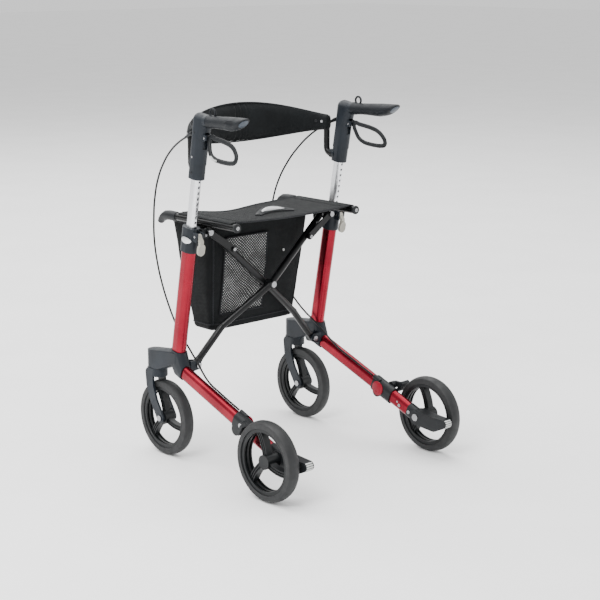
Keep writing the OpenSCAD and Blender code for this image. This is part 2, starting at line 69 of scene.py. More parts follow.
# fixed points of the frame, in metres, on the right side
SIDE_X = 0.243
RAIL = (0.203, 0.627)
LEVER_PIN = (0.040, 0.846)
RAKE = math.radians(10.35)
UPRIGHT_FOOT = Vector((SIDE_X, 0.1685, 0.289))
LOWER_FRONT = Vector((SIDE_X, 0.1465, 0.237))
LOWER_SLOPE = math.atan2(0.137, 0.367)


# ---- small modelling helpers ----


def deselect():
    if bpy.context.object and bpy.context.object.mode != "OBJECT":
        bpy.ops.object.mode_set(mode="OBJECT")
    bpy.ops.object.select_all(action="DESELECT")


def pick(obj):
    deselect()
    obj.select_set(True)
    bpy.context.view_layer.objects.active = obj


def settle(name, obj=None):
    """Names the finished piece and puts its place into its mesh."""
    obj = obj or bpy.context.object
    pick(obj)
    bpy.ops.object.transform_apply(location=True, rotation=True, scale=True)
    obj.name = name
    obj.data.name = name
    return obj


def join(name, parts):
    deselect()
    for part in parts:
        part.select_set(True)
    bpy.context.view_layer.objects.active = parts[0]
    bpy.ops.object.join()
    return settle(name)


def apply_modifier(obj, kind, **settings):
    pick(obj)
    mod = obj.modifiers.new(kind.title(), kind)
    for key, value in settings.items():
        setattr(mod, key, value)
    bpy.ops.object.modifier_apply(modifier=mod.name)


def smooth(obj, angle=40):
    pick(obj)
    bpy.ops.object.shade_smooth_by_angle(angle=math.radians(angle))


def outward(obj, merge=0.00002):
    """Merges doubles and turns every face outwards."""
    pick(obj)
    bpy.ops.object.mode_set(mode="EDIT")
    bpy.ops.mesh.select_all(action="SELECT")
    bpy.ops.mesh.remove_doubles(threshold=merge)
    bpy.ops.mesh.normals_make_consistent(inside=False)
    bpy.ops.object.mode_set(mode="OBJECT")


def disc(name, centre, axis, radius, height, bevel=0.0006, sides=32):
    """A turned head, cap or washer whose outer face looks along axis."""
    deselect()
    turn = Vector(axis).to_track_quat("Z", "Y").to_euler()
    middle = Vector(centre) + Vector(axis).normalized() * height / 2
    bpy.ops.mesh.primitive_cylinder_add(vertices=sides, radius=radius, depth=height, location=middle, rotation=turn)
    obj = bpy.context.object
    apply_modifier(obj, "BEVEL", width=bevel, segments=2, limit_method="ANGLE", angle_limit=math.radians(40))
    obj = settle(name)
    smooth(obj)
    return obj


def socket_screw(name, centre, axis, radius, height):
    """A round screw head with a recess turned into its top."""
    obj = disc(name, centre, axis, radius, height, bevel=radius * 0.16)
    way = Vector(axis).normalized()
    top = max(p.center @ way for p in obj.data.polygons)
    pick(obj)
    for v in obj.data.vertices:
        v.select = False
    for e in obj.data.edges:
        e.select = False
    for p in obj.data.polygons:
        p.select = p.center @ way > top - 1e-5
    bpy.ops.object.mode_set(mode="EDIT")
    bpy.ops.mesh.select_mode(type="FACE")
    bpy.ops.mesh.inset(thickness=radius * 0.42, depth=0)
    bpy.ops.mesh.inset(thickness=radius * 0.06, depth=-height * 0.45)
    bpy.ops.object.mode_set(mode="OBJECT")
    return obj


def formed_grid(name, across, along, place, closed=False):
    """A grid of across by along cells laid on place(u, v), with u and v from 0 to 1."""
    deselect()
    bpy.ops.mesh.primitive_grid_add(x_subdivisions=across, y_subdivisions=along, size=1)
    obj = bpy.context.object
    for v in obj.data.vertices:
        v.co = place(min(1, max(0, v.co.x + 0.5)), min(1, max(0, v.co.y + 0.5)))
    obj = settle(name)
    if closed:
        outward(obj)
    return obj


def loft(name, stations, sides=32):
    """Extrudes a ring from station to station: (centre, half width, half height, pitch about X)."""
    deselect()
    centre, half_w, half_h, pitch = stations[0]
    bpy.ops.mesh.primitive_circle_add(
        vertices=sides, radius=1, fill_type="NGON", location=(0, 0, 0), rotation=(math.pi / 2, 0, 0)
    )
    bpy.ops.object.transform_apply(location=True, rotation=True, scale=True)
    obj = bpy.context.object
    bpy.ops.object.mode_set(mode="EDIT")
    bpy.ops.mesh.select_all(action="SELECT")
    bpy.ops.transform.resize(value=(half_w, 1, half_h), center_override=(0, 0, 0))
    bpy.ops.transform.rotate(value=-pitch, orient_axis="X", center_override=(0, 0, 0))
    bpy.ops.transform.translate(value=centre)
    for (c0, w0, h0, p0), (c1, w1, h1, p1) in zip(stations, stations[1:]):
        step = Vector(c1) - Vector(c0)
        bpy.ops.mesh.extrude_region_move(TRANSFORM_OT_translate={"value": tuple(step)})
        bpy.ops.transform.rotate(value=p0, orient_axis="X", center_override=c1)
        bpy.ops.transform.resize(value=(w1 / w0, 1, h1 / h0), center_override=c1)
        bpy.ops.transform.rotate(value=-p1, orient_axis="X", center_override=c1)
    bpy.ops.object.mode_set(mode="OBJECT")
    outward(obj)
    return settle(name)


def swept(name, points, radius, closed=False, flat=1.0, tilt=0.0, steps=6, sides=4):
    """A round or flattened bar along a smooth curve through points."""
    deselect()
    data = bpy.data.curves.new(name, "CURVE")
    data.dimensions = "3D"
    data.resolution_u = steps
    line = data.splines.new("BEZIER")
    line.bezier_points.add(len(points) - 1)
    for b, p in zip(line.bezier_points, points):
        b.co = p
        b.handle_left_type = b.handle_right_type = "AUTO"
        b.tilt = tilt
    line.use_cyclic_u = closed
    data.bevel_depth = radius
    data.bevel_resolution = sides
    data.use_fill_caps = not closed
    if flat != 1.0:
        data.bevel_mode = "PROFILE"
        data.bevel_mode = "OBJECT"
        deselect()
        bpy.ops.curve.primitive_bezier_circle_add(radius=1, location=(0, 0, 0))
        section = bpy.context.object
        section.data.resolution_u = 8
        for b in section.data.splines[0].bezier_points:
            for part in ("co", "handle_left", "handle_right"):
                value = getattr(b, part)
                setattr(b, part, (value[0] * radius * flat, value[1] * radius, 0))
        data.bevel_object = section
    obj = bpy.data.objects.new(name, data)
    bpy.context.collection.objects.link(obj)
    pick(obj)
    bpy.ops.object.convert(target="MESH")
    obj = bpy.context.object
    if flat != 1.0:
        bpy.data.objects.remove(section)
    outward(obj)
    obj = settle(name)
    smooth(obj, 50)
    return obj


def side_points(k, points):
    return [Vector((k * x, y, z)) for x, y, z in points]


def on_upright(x, y, s):
    """A point of the raked upright's own frame, for the right side."""
    return UPRIGHT_FOOT + Vector((x, y * math.cos(RAKE) - s * math.sin(RAKE), y * math.sin(RAKE) + s * math.cos(RAKE)))


def on_lower(x, back, up):
    """A point of the lower tube's own frame, for the right side."""
    c, s = math.cos(LOWER_SLOPE), math.sin(LOWER_SLOPE)
    return LOWER_FRONT + Vector((x, -back * c - up * s, -back * s + up * c))


def mirrored(k, p):
    return Vector((k * p[0], p[1], p[2]))


def give(obj, material, body=None):
    obj.data.materials.clear()
    obj.data.materials.append(material)
    if body:
        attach(obj, body)
    return obj


# ---- materials ----


class Recipe:
    """Node helpers for one material."""

    def __init__(self, name):
        self.mat = bpy.data.materials.new(name)
        self.mat.use_nodes = True
        self.tree = self.mat.node_tree
        self.shader = self.tree.nodes["Principled BSDF"]
        self.coord = self.node("ShaderNodeTexCoord").outputs["Object"]

    def node(self, kind, **settings):
        made = self.tree.nodes.new(kind)
        for key, value in settings.items():
            setattr(made, key, value)
        return made

    def link(self, a, b):
        self.tree.links.new(a, b)

    def set(self, **values):
        for key, value in values.items():
            self.shader.inputs[key.replace("_", " ")].default_value = value

    def stretched(self, scale):
        mapping = self.node("ShaderNodeMapping")
        mapping.inputs["Scale"].default_value = scale
        self.link(self.coord, mapping.inputs["Vector"])
        return mapping.outputs["Vector"]

    def noise(self, scale, detail=3, vector=None, rough=0.55):
        made = self.node("ShaderNodeTexNoise")
        made.inputs["Scale"].default_value = scale
        made.inputs["Detail"].default_value = detail
        made.inputs["Roughness"].default_value = rough
        self.link(vector or self.coord, made.inputs["Vector"])
        return made.outputs["Fac"]

    def ramp(self, fac, low, high, start=0.35, stop=0.65):
        made = self.node("ShaderNodeValToRGB")
        made.color_ramp.elements[0].position = start
        made.color_ramp.elements[1].position = stop
        made.color_ramp.elements[0].color = (*low, 1)
        made.color_ramp.elements[1].color = (*high, 1)
        self.link(fac, made.inputs["Fac"])
        return made.outputs["Color"]

    def span(self, fac, low, high, start=0.3, stop=0.7):
        made = self.node("ShaderNodeMapRange")
        for key, value in (("From Min", start), ("From Max", stop), ("To Min", low), ("To Max", high)):
            made.inputs[key].default_value = value
        self.link(fac, made.inputs["Value"])
        return made.outputs["Result"]

    def maths(self, operation, a, b=None):
        made = self.node("ShaderNodeMath", operation=operation)
        for i, value in enumerate((a, b)):
            if isinstance(value, (int, float)):
                made.inputs[i].default_value = value
            elif value is not None:
                self.link(value, made.inputs[i])
        return made.outputs["Value"]

    def mix(self, fac, a, b):
        made = self.node("ShaderNodeMix", data_type="RGBA")
        self.link(fac, made.inputs["Factor"])
        for socket, value in ((made.inputs["A"], a), (made.inputs["B"], b)):
            if isinstance(value, tuple):
                socket.default_value = (*value, 1)
            else:
                self.link(value, socket)
        return made.outputs["Result"]

    def axis(self, name):
        made = self.node("ShaderNodeSeparateXYZ")
        self.link(self.coord, made.inputs["Vector"])
        return made.outputs[name]

    def colour(self, socket):
        self.link(socket, self.shader.inputs["Base Color"])

    def roughness(self, socket):
        self.link(socket, self.shader.inputs["Roughness"])

    def bump(self, height, strength, distance):
        made = self.node("ShaderNodeBump")
        made.inputs["Strength"].default_value = strength
        made.inputs["Distance"].default_value = distance
        self.link(height, made.inputs["Height"])
        self.link(made.outputs["Normal"], self.shader.inputs["Normal"])


def moulded(name, tone, rough, pores=900, depth=0.12):
    """Moulded plastic: a fine texture, faint flow marks and uneven gloss."""
    r = Recipe(name)
    r.colour(r.ramp(r.noise(14, 4), tuple(c * 0.82 for c in tone), tuple(min(1, c * 1.16) for c in tone)))
    r.roughness(r.span(r.noise(45, 3), rough - 0.06, rough + 0.09))
    r.bump(r.noise(pores, 2), depth, 0.0006)
    r.set(Specular_IOR_Level=0.24)
    return r.mat


def metallic_red(name, tone):
    """Metallic lacquer under a clear coat: fine flakes and a slight drift of depth."""
    r = Recipe(name)
    deep, light = tuple(c * 0.72 for c in tone), tuple(min(1, c * 1.25 + 0.01) for c in tone)
    body = r.ramp(r.noise(9, 3), deep, light, 0.3, 0.7)
    flakes = r.ramp(r.noise(2600, 1), (0, 0, 0), (1, 1, 1), 0.58, 0.72)
    r.colour(r.mix(flakes, body, tuple(min(1, c * 1.35 + 0.01) for c in tone)))
    r.roughness(r.span(r.noise(60, 3), 0.26, 0.36))
    r.bump(r.noise(220, 2), 0.05, 0.0005)
    r.set(Metallic=0.93, Coat_Weight=0.14, Coat_Roughness=0.08)
    return r.mat


def drawn_metal(name, tone, rough, stretch, lines=0.08):
    """Drawn or turned metal: fine lines along one way and faint handling marks."""
    r = Recipe(name)
    grain = r.noise(260, 4, r.stretched(stretch))
    r.colour(r.ramp(grain, tuple(c * 0.86 for c in tone), tone, 0.3, 0.7))
    r.roughness(r.span(r.noise(35, 3), rough - 0.05, rough + 0.08))
    r.bump(grain, lines, 0.0004)
    r.set(Metallic=1.0)
    return r.mat


def powder_coat(name, tone):
    """Black powder coat: orange peel and soft scuffs."""
    r = Recipe(name)
    scuffs = r.ramp(r.noise(70, 5, rough=0.7), tone, tuple(c * 2.0 + 0.003 for c in tone), 0.62, 0.78)
    r.colour(scuffs)
    r.roughness(r.span(r.noise(30, 3), 0.26, 0.4))
    r.bump(r.noise(420, 2), 0.14, 0.0006)
    r.set(Coat_Weight=0.08, Coat_Roughness=0.12, Specular_IOR_Level=0.22)
    return r.mat


def tyre_rubber(name, tone):
    """Soft grey-black tyre: fine grain, with dust worn into the tread."""
    r = Recipe(name)
    r.colour(r.ramp(r.noise(28, 5, rough=0.7), tone, tuple(c * 1.6 + 0.002 for c in tone), 0.45, 0.75))
    r.roughness(r.span(r.noise(55, 3), 0.52, 0.7))
    r.bump(r.noise(700, 3), 0.2, 0.0008)
    return r.mat


def woven(name, tone, pitch, ways=("X", "Y"), shine=0.62, depth=0.35, crown_highlight_gain=1.7):
    """Plain weave with threads running both ways, a little uneven dye, and a painted highlight on the raised thread
    crowns.
    """
    r = Recipe(name)
    turns = 2 * math.pi / pitch
    a = r.maths("SINE", r.maths("MULTIPLY", r.axis(ways[0]), turns))
    b = r.maths("SINE", r.maths("MULTIPLY", r.axis(ways[1]), turns))
    weave = r.maths("MULTIPLY", a, b)
    height = r.maths("ADD", weave, r.maths("MULTIPLY", r.noise(1400, 2), 0.6))
    dye = r.ramp(r.noise(18, 4), tuple(c * 0.8 for c in tone), tuple(c * 1.25 for c in tone))
    # painted highlight: where the weave is raised the colour is lightened towards a brighter tone, standing in for
    # light on the thread crowns
    painted_crown_highlight = r.span(weave, 0.0, 0.55, 0.1, 1.0)
    r.colour(r.mix(painted_crown_highlight, dye, tuple(c * crown_highlight_gain + 0.004 for c in tone)))
    r.roughness(r.span(r.noise(90, 3), shine, shine + 0.16))
    r.bump(height, depth, 0.0006)
    r.set(Sheen_Weight=0.03, Specular_IOR_Level=0.1)
    return r.mat


def open_mesh(name, tone, light, pitch):
    """Net cloth on a pale lining: staggered holes between dark threads."""
    r = Recipe(name)
    wave = r.maths("MULTIPLY", r.maths("SUBTRACT", r.noise(9, 2), 0.5), 0.02)
    u = r.maths("ADD", r.axis("X"), wave)
    v = r.maths("ADD", r.axis("Z"), wave)
    turns = math.pi / pitch
    a = r.maths("SINE", r.maths("MULTIPLY", r.maths("ADD", u, v), turns))
    b = r.maths("SINE", r.maths("MULTIPLY", r.maths("SUBTRACT", r.maths("MULTIPLY", u, 0.8), v), turns))
    holes = r.maths("MULTIPLY", r.maths("MULTIPLY", a, a), r.maths("MULTIPLY", b, b))
    patchy = r.span(r.noise(38, 3, rough=0.65), 0.35, 1.0, 0.36, 0.62)
    open_share = r.maths("MULTIPLY", r.span(holes, 0.0, 1.0, 0.5, 0.8), patchy)
    r.colour(r.mix(open_share, tone, light))
    r.roughness(r.span(holes, 0.75, 0.5, 0.0, 1.0))
    r.bump(r.maths("MULTIPLY", holes, -1.0), 0.5, 0.001)
    return r.mat


def make_materials(colours):
    m = {}
    m["frame_paint"] = metallic_red("Red lacquer", tuple(colours.paint))
    m["slate_plastic"] = moulded("Slate plastic", tuple(colours.slate), 0.42)
    # painted highlight: a lighter copy of the slate plastic for the grips' slanted end faces, standing in for light
    # falling on them
    m["slate_light"] = moulded("Slate plastic painted highlight", tuple(min(1, c * 3.2 + 0.01) for c in colours.slate), 0.34)
    m["black_plastic"] = moulded("Black plastic", (0.008, 0.0092, 0.0105), 0.42)
    m["grip_rubber"] = moulded("Grip rubber", tuple(c * 0.45 for c in colours.slate), 0.52, 1600, 0.3)
    m["wheel_plastic"] = moulded("Wheel plastic", (0.0055, 0.0065, 0.0072), 0.38)
    m["wheel_tyre"] = tyre_rubber("Tyre", (0.0042, 0.0048, 0.0054))
    m["lever_grey"] = moulded("Lever grey", tuple(colours.lever), 0.4)
    m["satin_aluminium"] = drawn_metal("Satin aluminium", (0.86, 0.87, 0.89), 0.3, (1, 1, 0.03))
    m["bright_steel"] = drawn_metal("Bright steel", (0.36, 0.36, 0.37), 0.26, (1, 1, 1), 0.04)
    m["black_tube"] = powder_coat("Black powder coat", (0.0025, 0.0028, 0.0032))
    m["cable_jacket"] = moulded("Cable jacket", (0.008, 0.008, 0.009), 0.32, 500)
    m["seat_cloth"] = woven("Seat cloth", tuple(colours.cloth), 0.0024)
    m["pull_strap"] = moulded("Pull strap", (0.011, 0.0125, 0.014), 0.45)
    m["bag_cloth"] = woven("Bag cloth", tuple(c * 0.85 for c in colours.cloth), 0.003, ("X", "Z"))
    m["pad_cloth"] = woven("Pad cloth", tuple(colours.cloth), 0.0022, ("X", "Z"), 0.64, 0.3)
    m["bag_net"] = open_mesh("Bag net", (0.005, 0.006, 0.0065), (0.62, 0.63, 0.62), 0.0078)
    m["binding"] = woven("Binding tape", (0.012, 0.013, 0.015), 0.0018, ("X", "Z"), 0.5, 0.4)
    m["plate_silver"] = drawn_metal("Badge plate", (0.72, 0.73, 0.74), 0.34, (0.05, 0.05, 1), 0.05)
    m["reflector"] = moulded("Reflector", (0.5, 0.51, 0.5), 0.22, 300, 0.05)
    m["red_cap"] = moulded("Red cap", tuple(c * 1.0 for c in colours.paint), 0.3)
    return m


MATERIALS = {}
CAD_SLOTS = {p["node"]: p["material_slot"] for p in frame["record"]["subparts"]}


# ---- settings ----


class RollatorColours(bpy.types.PropertyGroup):
    paint: bpy.props.FloatVectorProperty(
        name="Frame paint", description="Colour of the red tubes", size=3, subtype="COLOR", default=(0.21, 0.0004, 0.012)
    )
    slate: bpy.props.FloatVectorProperty(
        name="Slate plastic", description="Colour of the castings, forks and posts", size=3, subtype="COLOR",
        default=(0.0090, 0.0122, 0.0168),
    )
    lever: bpy.props.FloatVectorProperty(
        name="Clamp lever", description="Colour of the clamp levers", size=3, subtype="COLOR", default=(0.38, 0.365, 0.32)
    )
    cloth: bpy.props.FloatVectorProperty(
        name="Cloth", description="Colour of the seat, bag and backrest", size=3, subtype="COLOR",
        default=(0.0058, 0.0068, 0.0074),
    )


class RollatorSizes(bpy.types.PropertyGroup):
    seat_sag: bpy.props.FloatProperty(
        name="Seat sag", description="How far the seat cloth hangs in its middle", default=0.009, unit="LENGTH"
    )
    cloth_thickness: bpy.props.FloatProperty(
        name="Cloth thickness", description="Thickness of the seat cloth", default=0.0022, unit="LENGTH"
    )
    cable_radius: bpy.props.FloatProperty(
        name="Cable radius", description="Radius of a brake cable's jacket", default=0.0025, unit="LENGTH"
    )
    pad_puff: bpy.props.FloatProperty(
        name="Pad puff", description="The most that the backrest's stuffing swells it", default=0.004, unit="LENGTH"
    )


# ---- hard parts ----


class ROLLATOR_OT_frame_finish(bpy.types.Operator):
    """Gives every CAD node its material and softened edges"""

    bl_idname = "rollator.frame_finish"
    bl_label = "Frame finish"

    ROUNDED = {
        "front_casting": 0.002, "clamp_collar": 0.0012, "handle_post": 0.0015, "backrest_collar": 0.0012,
        "tip_pedal": 0.002, "caster_fork": 0.0016, "brake_housing": 0.0014, "brake_shoe": 0.001,
        "rail_bracket": 0.0012, "fold_link": 0.0008, "clamp_lever": 0.0014, "rear_wheel": 0.0006,
        "caster_wheel": 0.0006, "rear_tyre": 0.0012, "caster_tyre": 0.0012, "frame_pins": 0.0006,
        "caster_axle": 0.0006, "rear_axle": 0.0006, "pivot_bolt": 0.0006,
    }

    def execute(self, context):
        MATERIALS.update(make_materials(context.scene.rollator_colours))
        for name, node in NODES.items():
            node.data.materials.clear()
            node.data.materials.append(MATERIALS[CAD_SLOTS[name]])
            base = name[:-2] if name[-2:] in ("_l", "_r") else name
            pick(node)
            weld = node.modifiers.new("Weld", "WELD")
            weld.merge_threshold = 0.00002
            if base in self.ROUNDED:
                bevel = node.modifiers.new("Bevel", "BEVEL")
                bevel.width = self.ROUNDED[base]
                bevel.segments = 2
                bevel.limit_method = "ANGLE"
                bevel.angle_limit = math.radians(38)
                bevel.use_clamp_overlap = True
            for face in node.data.polygons:
                face.use_smooth = True
            even = node.modifiers.new("Weighted", "WEIGHTED_NORMAL")
            even.keep_sharp = True
        return {"FINISHED"}


class ROLLATOR_OT_seat_rails(bpy.types.Operator):
    """Builds the grooved seat rails with their end caps and screws"""

    bl_idname = "rollator.seat_rails"
    bl_label = "Seat rails"

    def execute(self, context):
        x, z = RAIL
        for s, _, k in SIDES:
            body = "brace_b" if s == "l" else "brace_a"
            back, front = -0.0175, 0.251
            deselect()
            bpy.ops.mesh.primitive_circle_add(
                vertices=72, radius=0.01, fill_type="NGON", location=(k * x, back, z), rotation=(math.pi / 2, 0, 0)
            )
            bpy.ops.object.transform_apply(location=True, rotation=True, scale=True)
            tube = bpy.context.object
            for v in tube.data.vertices:
                turn = math.degrees(math.atan2(v.co.z - z, v.co.x - k * x)) % 360
                for groove in (162, 198, 342, 18):
                    if abs(turn - groove) < 4:
                        v.co.x = k * x + (v.co.x - k * x) * 0.86
                        v.co.z = z + (v.co.z - z) * 0.86
            bpy.ops.object.mode_set(mode="EDIT")
            bpy.ops.mesh.select_all(action="SELECT")
            bpy.ops.mesh.extrude_region_move(TRANSFORM_OT_translate={"value": (0, front - back, 0)})
            bpy.ops.object.mode_set(mode="OBJECT")
            outward(tube)
            tube = settle("rail_tube_" + s)
            smooth(tube, 50)
            give(tube, MATERIALS["black_tube"], body)
            cap = disc("rail_cap_" + s, (k * x, back + 0.001, z), (0, -1, 0), 0.0114, 0.006, 0.0012, 48)
            nose = loft("rail_nose_" + s, [
                ((k * x, front - 0.036, z), 0.0112, 0.0112, 0),
                ((k * x, front - 0.033, z), 0.0124, 0.0124, 0),
                ((k * x, front - 0.004, z), 0.0126, 0.0126, 0),
                ((k * x, front + 0.010, z - 0.002), 0.0126, 0.0125, -0.25),
                ((k * x, front + 0.021, z - 0.007), 0.0112, 0.0112, -0.6),
                ((k * x, front + 0.030, z - 0.0145), 0.0098, 0.0096, -0.85),
                ((k * x, front + 0.035, z - 0.021), 0.0084, 0.0078, -1.0),
            ], 40)
            smooth(nose, 50)
            for piece in (cap, nose):
                give(piece, MATERIALS["black_plastic"], body)
            screw = socket_screw("rail_screw_" + s, (k * x, back - 0.0050, z), (0, -1, 0), 0.0050, 0.0014)
            give(screw, MATERIALS["bright_steel"], body)
            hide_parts("seat_rail_" + s)
        return {"FINISHED"}


class ROLLATOR_OT_grips(bpy.types.Operator):
    """Builds the two anatomical grips with a slanted end and a thumb hollow"""

    bl_idname = "rollator.grips"
    bl_label = "Grips"

    def execute(self, context):
        for s, side, k in SIDES:
            cx = k * SIDE_X
            rows = (
                (0.0005, 0.0305, 0.886, 0.0165, 0.0165, 0.0), (0.0005, 0.022, 0.886, 0.0163, 0.0163, 0.0),
                (0.0012, 0.016, 0.8858, 0.0152, 0.0150, 0.0), (0.0026, 0.000, 0.8865, 0.0150, 0.0148, 0.0),
                (0.0040, -0.020, 0.887, 0.0154, 0.0152, 0.0), (0.0056, -0.044, 0.8873, 0.0164, 0.0164, 0.04),
                (0.0074, -0.064, 0.8878, 0.0178, 0.0172, 0.12), (0.0090, -0.082, 0.8893, 0.0184, 0.0168, 0.3),
                (0.0100, -0.095, 0.8905, 0.0182, 0.0176, 0.55), (0.0106, -0.1035, 0.8917, 0.0170, 0.0190, 0.74),
                (0.0108, -0.1065, 0.8921, 0.0156, 0.0182, 0.8),
            )
            stations = [((cx + k * dx, y, z), w, h, pitch) for dx, y, z, w, h, pitch in rows]
            grip = loft("hand_grip_" + s, stations, 40)
            pick(grip)
            # thumb hollow near the end, outboard
            bpy.ops.mesh.primitive_uv_sphere_add(segments=32, ring_count=16, radius=1)
            cutter = bpy.context.object
            cutter.scale = (0.0075, 0.020, 0.0085)
            cutter.location = (cx + k * 0.0265, -0.070, 0.890)
            apply_modifier(grip, "BOOLEAN", operation="DIFFERENCE", object=cutter, solver="EXACT")
            bpy.data.objects.remove(cutter)
            apply_modifier(grip, "BEVEL", width=0.0012, segments=3, limit_method="ANGLE", angle_limit=math.radians(34))
            smooth(grip, 50)
            give(grip, MATERIALS["grip_rubber"], f"handle_{side}")
            # the slanted end's inset face, in a lighter copy of the slate plastic as a painted highlight
            tilt = 0.8
            way = Vector((0, -math.cos(tilt), -math.sin(tilt)))
            centre = Vector((cx + k * 0.0108, -0.1065, 0.8921)) + way * 0.0002
            plate = disc("grip_end_" + s, centre, way, 0.0130, 0.0014, 0.0006, 40)
            give(plate, MATERIALS["slate_light"], f"handle_{side}")
            # eyelet at the root
            pick(grip)
            bpy.ops.mesh.primitive_torus_add(
                location=(k * 0.245, 0.016, 0.9075), rotation=(0, math.pi / 2, 0),
                major_segments=48, minor_segments=16, major_radius=0.0098, minor_radius=0.0027,
            )
            eyelet = settle("grip_eyelet_" + s)
            smooth(eyelet, 80)
            give(eyelet, MATERIALS["grip_rubber"], f"handle_{side}")
            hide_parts("grip_" + s)
        return {"FINISHED"}


class ROLLATOR_OT_brake_levers(bpy.types.Operator):
    """Builds the loop levers with their bosses and plain pale pads"""

    bl_idname = "rollator.brake_levers"
    bl_label = "Brake levers"

    LOOP = (
        (0.026, 0.0025), (0.008, 0.0), (-0.014, -0.003), (-0.038, -0.0075), (-0.057, -0.0145), (-0.0695, -0.025),
        (-0.0765, -0.038), (-0.0735, -0.0485), (-0.060, -0.0525), (-0.041, -0.0530), (-0.018, -0.0515),
        (0.003, -0.0475), (0.0185, -0.038), (0.0265, -0.022), (0.030, -0.007),
    )

    def execute(self, context):
        splay = math.radians(12)
        for s, side, k in SIDES:
            body = f"brake_lever_{side}"

            def place(y, z, out=0.0):
                return Vector((k * (SIDE_X - z * math.sin(splay) + out), y, LEVER_PIN[1] + z * math.cos(splay)))

            ring = swept("brake_loop_" + s, [place(y, z) for y, z in self.LOOP], 0.0039, closed=True, flat=1.5,
                         steps=8)
            give(ring, MATERIALS["black_plastic"], body)
            boss = disc("brake_boss_" + s, (k * SIDE_X - 0.006, *LEVER_PIN), (1, 0, 0), 0.0072, 0.012, 0.001)
            give(boss, MATERIALS["black_plastic"], body)
            pin = disc("brake_pin_" + s, (k * SIDE_X - 0.012, *LEVER_PIN), (1, 0, 0), 0.0029, 0.024, 0.0006)
            give(pin, MATERIALS["bright_steel"], body)
            pad_points = [place(y, z, 0.0048) for y, z in ((-0.012, -0.0515), (0.001, -0.0490), (0.0125, -0.0425))]
            pad = swept("brake_tab_" + s, pad_points, 0.0021, flat=1.7, steps=8)
            give(pad, MATERIALS["reflector"], body)
            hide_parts("brake_lever_" + s)
        return {"FINISHED"}


class ROLLATOR_OT_brake_cables(bpy.types.Operator):
    """Runs the two brake cables and their tapered boots"""

    bl_idname = "rollator.brake_cables"
    bl_label = "Brake cables"

    ROUTE = (
        (0.244, 0.078, 0.855), (0.244, 0.100, 0.852), (0.243, 0.119, 0.843), (0.240, 0.155, 0.826),
        (0.236, 0.193, 0.802), (0.230, 0.232, 0.767), (0.222, 0.268, 0.722), (0.213, 0.296, 0.668),
        (0.206, 0.312, 0.608), (0.201, 0.318, 0.550), (0.198, 0.311, 0.492), (0.199, 0.290, 0.436),
        (0.204, 0.258, 0.387), (0.210, 0.222, 0.345), (0.216, 0.187, 0.314), (0.219, 0.160, 0.297),
        (0.222, 0.138, 0.281), (0.225, 0.112, 0.262), (0.229, 0.088, 0.243), (0.233, 0.058, 0.225),
        (0.234, 0.020, 0.210), (0.234, -0.025, 0.193), (0.234, -0.058, 0.181),
    )

    def execute(self, context):
        radius = context.scene.rollator_sizes.cable_radius
        for s, side, k in SIDES:
            cable = swept("cable_jacket_" + s, side_points(k, self.ROUTE), radius, steps=6, sides=4)
            give(cable, MATERIALS["cable_jacket"])
            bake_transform(cable)
            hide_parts("brake_cable_" + s)
            boot = loft("cable_boot_" + s, [
                ((k * 0.244, 0.0965, 0.8525), 0.0058, 0.0058, -0.14), ((k * 0.244, 0.104, 0.8505), 0.0056, 0.0056, -0.2),
                ((k * 0.2437, 0.111, 0.8475), 0.0044, 0.0044, -0.3), ((k * 0.2432, 0.119, 0.8435), 0.0034, 0.0034, -0.4),
                ((k * 0.2425, 0.128, 0.839), 0.0028, 0.0028, -0.45),
            ], 24)
            smooth(boot, 50)
            give(boot, MATERIALS["black_plastic"], f"handle_{side}")
        return {"FINISHED"}


# ---- soft goods ----


